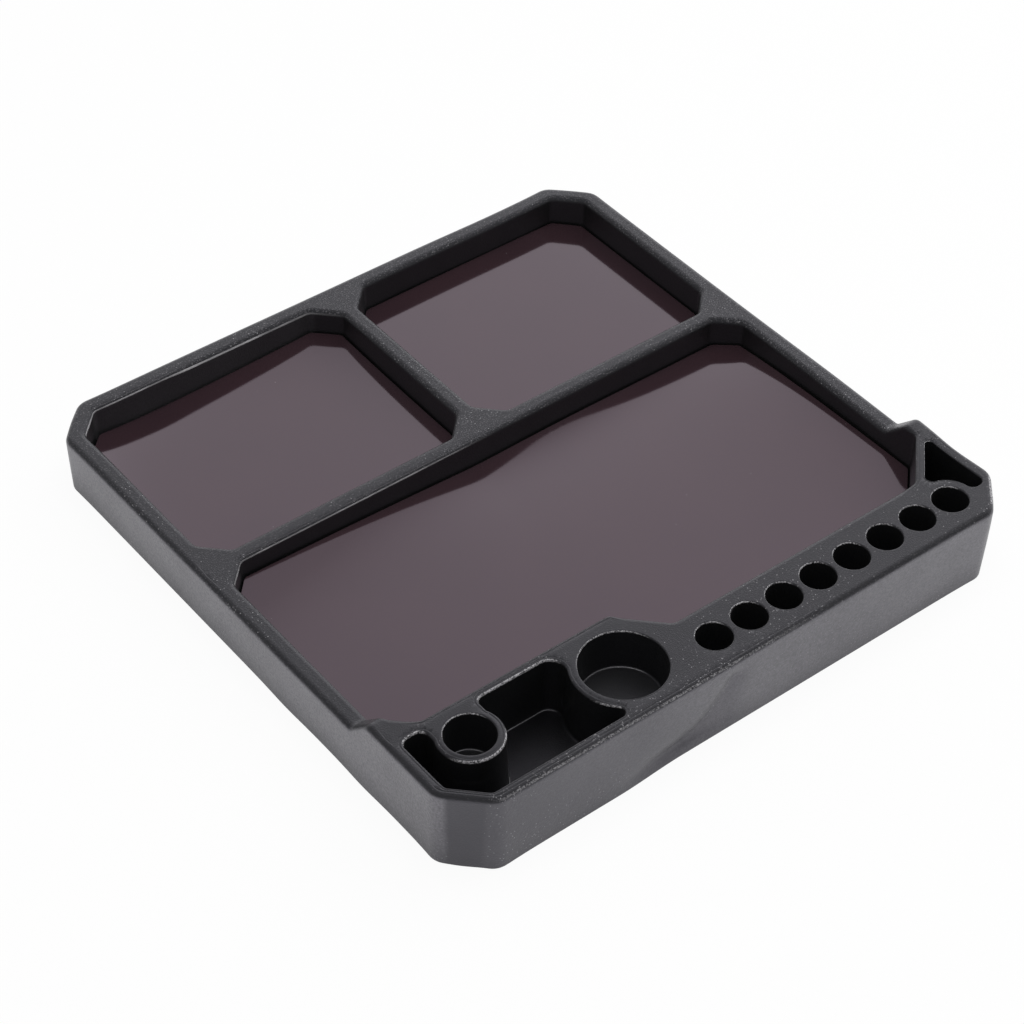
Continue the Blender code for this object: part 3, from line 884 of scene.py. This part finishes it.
def specks(nodes, spot, cell, size, thinnest, thickest):
    """A mask of small dust specks of uneven strength, denser in some places than in others."""
    cells = nodes.add("ShaderNodeTexVoronoi", Scale=1 / cell)
    nodes.join(spot, cells.inputs["Vector"])
    dots = nodes.add("ShaderNodeMapRange", From_Min=size / cell, From_Max=0.6 * size / cell)
    nodes.join(cells.outputs["Distance"], dots.inputs["Value"])
    patches = nodes.add("ShaderNodeTexNoise", Scale=SPECK_PATCH_SCALE, Detail=2.0)
    nodes.join(spot, patches.inputs["Vector"])
    needed = nodes.add("ShaderNodeMapRange", From_Min=0.38, From_Max=0.62, To_Min=thinnest, To_Max=thickest)
    nodes.join(patches.outputs[0], needed.inputs["Value"])
    kept = nodes.add("ShaderNodeMath", [("operation", "SUBTRACT"), ("use_clamp", True)])
    nodes.join(cells.outputs["Color"], kept.inputs[0])
    nodes.join(needed.outputs[0], kept.inputs[1])
    return times(nodes, dots.outputs[0], product(nodes, kept.outputs[0], SPECK_GAIN))


def blend(nodes, share, first, second):
    """A colour that runs from the first to the second. Either may be a socket."""
    mix = nodes.add("ShaderNodeMix", [("data_type", "RGBA")])
    nodes.join(share, mix.inputs["Factor"])
    for socket, colour in ((mix.inputs[6], first), (mix.inputs[7], second)):
        if isinstance(colour, tuple):
            socket.default_value = colour
        else:
            nodes.join(colour, socket)
    return mix.outputs[2]


def noise(nodes, spot, scale, detail, low, high):
    """A noise brought to run from low to high."""
    grain = nodes.add("ShaderNodeTexNoise", Scale=scale, Detail=detail)
    nodes.join(spot, grain.inputs["Vector"])
    spread = nodes.add("ShaderNodeMapRange", From_Min=0.3, From_Max=0.7, To_Min=low, To_Max=high)
    nodes.join(grain.outputs[0], spread.inputs["Value"])
    return spread.outputs[0]


def product(nodes, socket, share):
    scaled = nodes.add("ShaderNodeMath", [("operation", "MULTIPLY")])
    scaled.inputs[1].default_value = share
    nodes.join(socket, scaled.inputs[0])
    return scaled.outputs[0]


def larger(nodes, first, second):
    most = nodes.add("ShaderNodeMath", [("operation", "MAXIMUM")])
    nodes.join(first, most.inputs[0])
    nodes.join(second, most.inputs[1])
    return most.outputs[0]


def beyond(nodes, socket, start, end):
    """A soft mask that is 0 at the start and 1 at the end."""
    smooth = [("interpolation_type", "SMOOTHSTEP")]
    step = nodes.add("ShaderNodeMapRange", smooth, From_Min=start, From_Max=end)
    nodes.join(socket, step.inputs["Value"])
    return step.outputs[0]


def times(nodes, first, second):
    both = nodes.add("ShaderNodeMath", [("operation", "MULTIPLY")])
    nodes.join(first, both.inputs[0])
    nodes.join(second, both.inputs[1])
    return both.outputs[0]


def part_of(nodes, vector, axis):
    split = nodes.add("ShaderNodeSeparateXYZ")
    nodes.join(vector, split.inputs[0])
    return split.outputs[axis]


def diagonal(nodes, spot):
    """How far a spot lies to the rear right: its X and Y together."""
    both = nodes.add("ShaderNodeVectorMath", [("operation", "DOT_PRODUCT")])
    both.inputs[1].default_value = (1.0, 1.0, 0.0)
    nodes.join(spot, both.inputs[0])
    return both.outputs["Value"]


def outer_walls(nodes, spot):
    """A mask of the outermost faces."""
    size = nodes.add("ShaderNodeVectorMath", [("operation", "ABSOLUTE")])
    nodes.join(spot, size.inputs[0])
    start, end = OUTER_INSET
    across = beyond(nodes, part_of(nodes, size.outputs[0], "X"), RIGHT - start, RIGHT - end)
    along = beyond(nodes, part_of(nodes, size.outputs[0], "Y"), BACK - start, BACK - end)
    return larger(nodes, across, along)


def facing_up(nodes, start, end):
    normal = nodes.add("ShaderNodeNewGeometry").outputs["Normal"]
    return beyond(nodes, part_of(nodes, normal, "Z"), start, end)


def open_faces(nodes, spot):
    """Where dust settles: the outer walls and the tops, not the hollows."""
    height = part_of(nodes, spot, "Z")
    tops = times(nodes, facing_up(nodes, *OPEN_UP), beyond(nodes, height, *OPEN_Z))
    return larger(nodes, tops, outer_walls(nodes, spot))


def wall_dust_and_painted_reflection(nodes, spot):
    """A pale film on the walls, in patches: most on the outer ones near their tops, a trace in one bay. It is
    painted reflection of the bright floor, with a fine dust grain.
    """
    across = part_of(nodes, spot, "X")
    height = part_of(nodes, spot, "Z")
    left = times(nodes, beyond(nodes, across, *REFLECTION_LEFT_X), beyond(nodes, height, *REFLECTION_LEFT_Z))
    front = times(nodes, beyond(nodes, across, *REFLECTION_FRONT_X), beyond(nodes, height, *REFLECTION_FRONT_Z))
    sides = larger(nodes, left, product(nodes, front, REFLECTION_FRONT_SHARE))
    outer = times(nodes, outer_walls(nodes, spot), sides)
    rear = times(nodes, beyond(nodes, part_of(nodes, spot, "Y"), *REFLECTION_REAR_Y),
                 beyond(nodes, across, *REFLECTION_REAR_X))
    reflecting_walls = larger(nodes, outer, product(nodes, rear, REFLECTION_REAR_SHARE))
    painted_reflection = times(nodes, facing_up(nodes, *REFLECTION_STEEP), reflecting_walls)
    grainy = times(nodes, painted_reflection, noise(nodes, spot, *REFLECTION_GRAIN))
    return times(nodes, grainy, noise(nodes, spot, *REFLECTION_PATCHES))


def within(nodes, socket, low, high, soft):
    """A soft mask of the values between two limits."""
    return times(nodes, beyond(nodes, socket, low, low + soft), beyond(nodes, socket, high, high - soft))


def dust_and_edge_highlights(nodes, spot):
    """Pale dust and painted highlights along the edges that face the front: sparkling on the bar, a thin line
    on the left rims.
    """
    normal = nodes.add("ShaderNodeNewGeometry").outputs["Normal"]
    forward = beyond(nodes, part_of(nodes, normal, "Y"), *LIP_FORWARD)
    up = part_of(nodes, normal, "Z")
    height = part_of(nodes, spot, "Z")
    across = part_of(nodes, spot, "X")
    inner = times(nodes, beyond(nodes, part_of(nodes, spot, "Y"), *LIP_MOUTH_Y),
                  beyond(nodes, diagonal(nodes, spot), *LIP_MOUTH_DIAGONAL))
    left_part = times(nodes, beyond(nodes, across, *LIP_FRONT_X), beyond(nodes, across, *LIP_FRONT_LEFT))
    front = product(nodes, times(nodes, within(nodes, up, *LIP_FRONT_UP), left_part), LIP_FRONT_SHARE)
    bar = larger(nodes, front, times(nodes, within(nodes, up, *LIP_MOUTH_UP), inner))
    bar = times(nodes, bar, beyond(nodes, height, *LIP_BAR_Z))
    bar = times(nodes, bar, noise(nodes, spot, *LIP_BAR_GRAIN))
    rim = times(nodes, within(nodes, up, *LIP_RIM_UP), within(nodes, height, *LIP_RIM_Z))
    rim = times(nodes, rim, beyond(nodes, across, *LIP_RIM_X))
    rim = times(nodes, rim, noise(nodes, spot, *LIP_RIM_PATCHES))
    return times(nodes, forward, larger(nodes, bar, rim))


def painted_fillet_highlights(nodes, spot):
    """Painted highlights: pale lines at the far foot of the cups and the shaped pocket."""
    normal = nodes.add("ShaderNodeNewGeometry").outputs["Normal"]
    forward = beyond(nodes, part_of(nodes, normal, "Y"), *LINE_FORWARD)
    height = part_of(nodes, spot, "Z")
    cups = within(nodes, height, *LINE_CUP_Z)
    pocket = within(nodes, height, *LINE_POCKET_Z)
    sloping = within(nodes, part_of(nodes, normal, "Z"), *LINE_UP)
    foot = times(nodes, larger(nodes, cups, pocket), sloping)
    return times(nodes, times(nodes, forward, foot), noise(nodes, spot, *LINE_PATCHES))


def fine_dust_and_painted_light(nodes, spot):
    """Dust as fine as the grain of the moulding, on the faces that lie open, most at the rear right and on
    the lower tops; that gradient is painted light, for the brighter reflections there.
    """
    grains = nodes.add("ShaderNodeTexNoise", Scale=GRAIN_SCALE, Detail=2.0)
    nodes.join(spot, grains.inputs["Vector"])
    low = beyond(nodes, part_of(nodes, spot, "Z"), *FINE_Z)
    rearward = beyond(nodes, diagonal(nodes, spot), *FINE_DIAGONAL)
    thick = times(nodes, times(nodes, low, rearward), open_faces(nodes, spot))
    return times(nodes, beyond(nodes, grains.outputs[0], *FINE_CUT), thick)


def front_sparkle(nodes, spot):
    """Coarser dust along the front of the bar, most at the left."""
    strip = times(nodes, beyond(nodes, part_of(nodes, spot, "Y"), *SPARKLE_Y),
                  beyond(nodes, part_of(nodes, spot, "X"), *SPARKLE_X))
    grains = nodes.add("ShaderNodeTexNoise", Scale=SPARKLE_SCALE, Detail=3.0)
    nodes.join(spot, grains.inputs["Vector"])
    top = beyond(nodes, part_of(nodes, spot, "Z"), *SPARKLE_Z)
    return times(nodes, times(nodes, strip, top), beyond(nodes, grains.outputs[0], *SPARKLE_CUT))


def silicone():
    mat = bpy.data.materials.new("satin_silicone")
    nodes = Nodes(mat)
    spot = nodes.add("ShaderNodeTexCoord").outputs["Object"]
    shader = nodes.tree.nodes["Principled BSDF"]
    shader.inputs["IOR"].default_value = SILICONE_IOR
    shader.inputs["Specular Tint"].default_value = SILICONE_TINT
    mottle = noise(nodes, spot, SILICONE_TONE_SCALE, 5.0, 0.0, 1.0)
    tone = blend(nodes, mottle, SILICONE_DARK, SILICONE_LIGHT)
    # Painted shade on the upward faces low in the pockets.
    painted_shade = times(nodes, facing_up(nodes, *PAINTED_SHADE_UP), beyond(nodes, part_of(nodes, spot, "Z"), *PAINTED_SHADE_Z))
    tone = blend(nodes, painted_shade, tone, SILICONE_PAINTED_SHADE)
    # Painted reflection on the walls, most on the outer ones, grained like dust.
    painted_reflection = blend(nodes, wall_dust_and_painted_reflection(nodes, spot), tone, DUST_AND_REFLECTION_COLOUR)
    # Fine dust, grading to the rear right as painted light.
    grainy = blend(nodes, fine_dust_and_painted_light(nodes, spot), painted_reflection, FINE_DUST_AND_LIGHT_COLOUR)
    # Pale dust and painted highlights on the edges that face the front.
    edged = blend(nodes, dust_and_edge_highlights(nodes, spot), grainy, DUST_AND_HIGHLIGHT_COLOUR)
    # Painted highlights at the far foot of the cups and the shaped pocket.
    lined = blend(nodes, painted_fillet_highlights(nodes, spot), edged, FILLET_HIGHLIGHT_COLOUR)
    dust = times(nodes, specks(nodes, spot, SPECK_CELL, SPECK_SIZE, *SPECK_LIMITS), open_faces(nodes, spot))
    dust = larger(nodes, dust, front_sparkle(nodes, spot))
    nodes.join(blend(nodes, dust, lined, SPECK_COLOUR), shader.inputs["Base Color"])
    rough = noise(nodes, spot, SILICONE_ROUGHNESS_SCALE, 6.0, *SILICONE_ROUGHNESS)
    nodes.join(rough, shader.inputs["Roughness"])
    grain = nodes.add("ShaderNodeBump", Strength=GRAIN_STRENGTH, Distance=GRAIN_DEPTH)
    nodes.join(noise(nodes, spot, GRAIN_SCALE, 2.0, 0.0, 1.0), grain.inputs["Height"])
    nodes.join(grain.outputs["Normal"], shader.inputs["Normal"])
    return mat


def magnet_rubber():
    mat = bpy.data.materials.new("glossy_magnet_rubber")
    nodes = Nodes(mat)
    spot = nodes.add("ShaderNodeTexCoord").outputs["Object"]
    shader = nodes.tree.nodes["Principled BSDF"]
    shader.inputs["IOR"].default_value = RUBBER_IOR
    shader.inputs["Specular Tint"].default_value = RUBBER_TINT
    shader.inputs["Coat Weight"].default_value = 1.0
    shader.inputs["Coat IOR"].default_value = RUBBER_COAT_IOR
    shader.inputs["Coat Roughness"].default_value = RUBBER_COAT_ROUGHNESS
    mottle = noise(nodes, spot, RUBBER_TONE_SCALE, 4.0, 0.0, 1.0)
    tone = blend(nodes, mottle, RUBBER_DARK, RUBBER_LIGHT)
    lint = specks(nodes, spot, LINT_CELL, LINT_SIZE, *LINT_LIMITS)
    nodes.join(blend(nodes, lint, tone, LINT_COLOUR), shader.inputs["Base Color"])
    rough = noise(nodes, spot, RUBBER_ROUGHNESS_SCALE, 5.0, *RUBBER_ROUGHNESS)
    nodes.join(rough, shader.inputs["Roughness"])
    return mat


# Stage

def camera():
    data = bpy.data.cameras.new("camera")
    data.sensor_width = SENSOR
    data.lens = CAMERA_LENS
    obj = bpy.data.objects.new("camera", data)
    forward = Vector((math.sin(CAMERA_HEADING) * math.cos(CAMERA_DROP),
                      math.cos(CAMERA_HEADING) * math.cos(CAMERA_DROP), -math.sin(CAMERA_DROP)))
    right = Vector((math.cos(CAMERA_HEADING), -math.sin(CAMERA_HEADING), 0.0))
    up = right.cross(forward)
    tilted = right * math.cos(CAMERA_ROLL) + up * math.sin(CAMERA_ROLL)
    above = tilted.cross(forward)
    turned = Matrix((tilted, above, -forward)).transposed().to_4x4()
    obj.matrix_world = Matrix.Translation(CAMERA_PLACE) @ turned
    bpy.context.scene.collection.objects.link(obj)
    bpy.context.scene.camera = obj


def white_to_camera(nodes, lit):
    """A floor that looks near white to the camera, is pale in reflections and is lit for all other light."""
    path = nodes.add("ShaderNodeLightPath")
    mirrored = larger(nodes, path.outputs["Is Glossy Ray"], path.outputs["Is Transmission Ray"])
    share = larger(nodes, product(nodes, path.outputs["Is Camera Ray"], FLOOR_SEEN),
                   product(nodes, mirrored, FLOOR_MIRRORED))
    white = nodes.add("ShaderNodeEmission")
    mix = nodes.add("ShaderNodeMixShader")
    nodes.join(share, mix.inputs[0])
    nodes.join(lit, mix.inputs[1])
    nodes.join(white.outputs[0], mix.inputs[2])
    nodes.join(mix.outputs[0], nodes.tree.nodes["Material Output"].inputs["Surface"])


def stage_floor():
    mesh = bpy.data.meshes.new("floor")
    half = FLOOR_HALF
    corners = [(-half, -half, 0), (half, -half, 0), (half, half, 0), (-half, half, 0)]
    mesh.from_pydata(corners, [], [(0, 1, 2, 3)])
    floor = bpy.data.objects.new("floor", mesh)
    bpy.context.scene.collection.objects.link(floor)
    mat = bpy.data.materials.new("pale_floor")
    nodes = Nodes(mat)
    shader = nodes.tree.nodes["Principled BSDF"]
    shader.inputs["Base Color"].default_value = FLOOR_COLOUR
    shader.inputs["Roughness"].default_value = FLOOR_ROUGHNESS
    white_to_camera(nodes, shader.outputs[0])
    mesh.materials.append(mat)


def climb(nodes, socket, edge, low, high, kind="LINEAR"):
    """A value that runs from low to high while the socket runs between two limits."""
    part = nodes.add("ShaderNodeMapRange", [("interpolation_type", kind)], From_Min=edge[0], From_Max=edge[1],
                     To_Min=low, To_Max=high)
    nodes.join(socket, part.inputs["Value"])
    return part.outputs["Result"]


def added(nodes, first, second):
    total = nodes.add("ShaderNodeMath")
    nodes.join(first, total.inputs[0])
    nodes.join(second, total.inputs[1])
    return total.outputs[0]


def world():
    """A soft studio: a pale wall behind the tray that glows near the floor, and a dim room before it."""
    made = bpy.data.worlds.new("studio")
    nodes = Nodes(made)
    back = nodes.tree.nodes["Background"]
    back.inputs["Color"].default_value = (1.0, 1.0, 1.0, 1.0)
    spot = nodes.add("ShaderNodeTexCoord")
    turn = nodes.add("ShaderNodeVectorMath", [("operation", "DOT_PRODUCT")])
    turn.inputs[1].default_value = BRIGHT_SIDE
    nodes.join(spot.outputs["Generated"], turn.inputs[0])
    wall = climb(nodes, turn.outputs["Value"], ROOM_EDGE, ROOM_DIM, ROOM_BRIGHT, "SMOOTHSTEP")
    glow = climb(nodes, turn.outputs["Value"], GLOW_EDGE, 0.0, GLOW)
    horizon = climb(nodes, turn.outputs["Value"], HORIZON_EDGE, 0.0, HORIZON)
    nodes.join(added(nodes, added(nodes, wall, glow), horizon), back.inputs["Strength"])
    bpy.context.scene.world = made


def lamp(name, place, power):
    """A large soft lamp aimed at the tray, which fills the hollows and isn't mirrored as a spot."""
    data = bpy.data.lights.new(name, "AREA")
    data.shape = "SQUARE"
    data.size = LAMP_SIZE
    data.energy = power
    obj = bpy.data.objects.new(name, data)
    obj.location = place
    obj.rotation_euler = Vector(place).to_track_quat("Z", "Y").to_euler()
    obj.visible_glossy = False
    bpy.context.scene.collection.objects.link(obj)


def main():
    scene = bpy.context.scene
    scene.view_settings.view_transform = "Standard"
    camera()
    stage_floor()
    world()
    for name, (place, power) in LAMPS.items():
        lamp(name, place, power)
    rubber = silicone()
    brown = magnet_rubber()
    body = tray_body(rubber)
    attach(body, "root")
    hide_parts("tray_body")
    for name in BAYS:
        sheet = magnet_sheet(name, brown)
        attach(sheet, "root")
        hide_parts("magnet_sheet_" + name)


main()
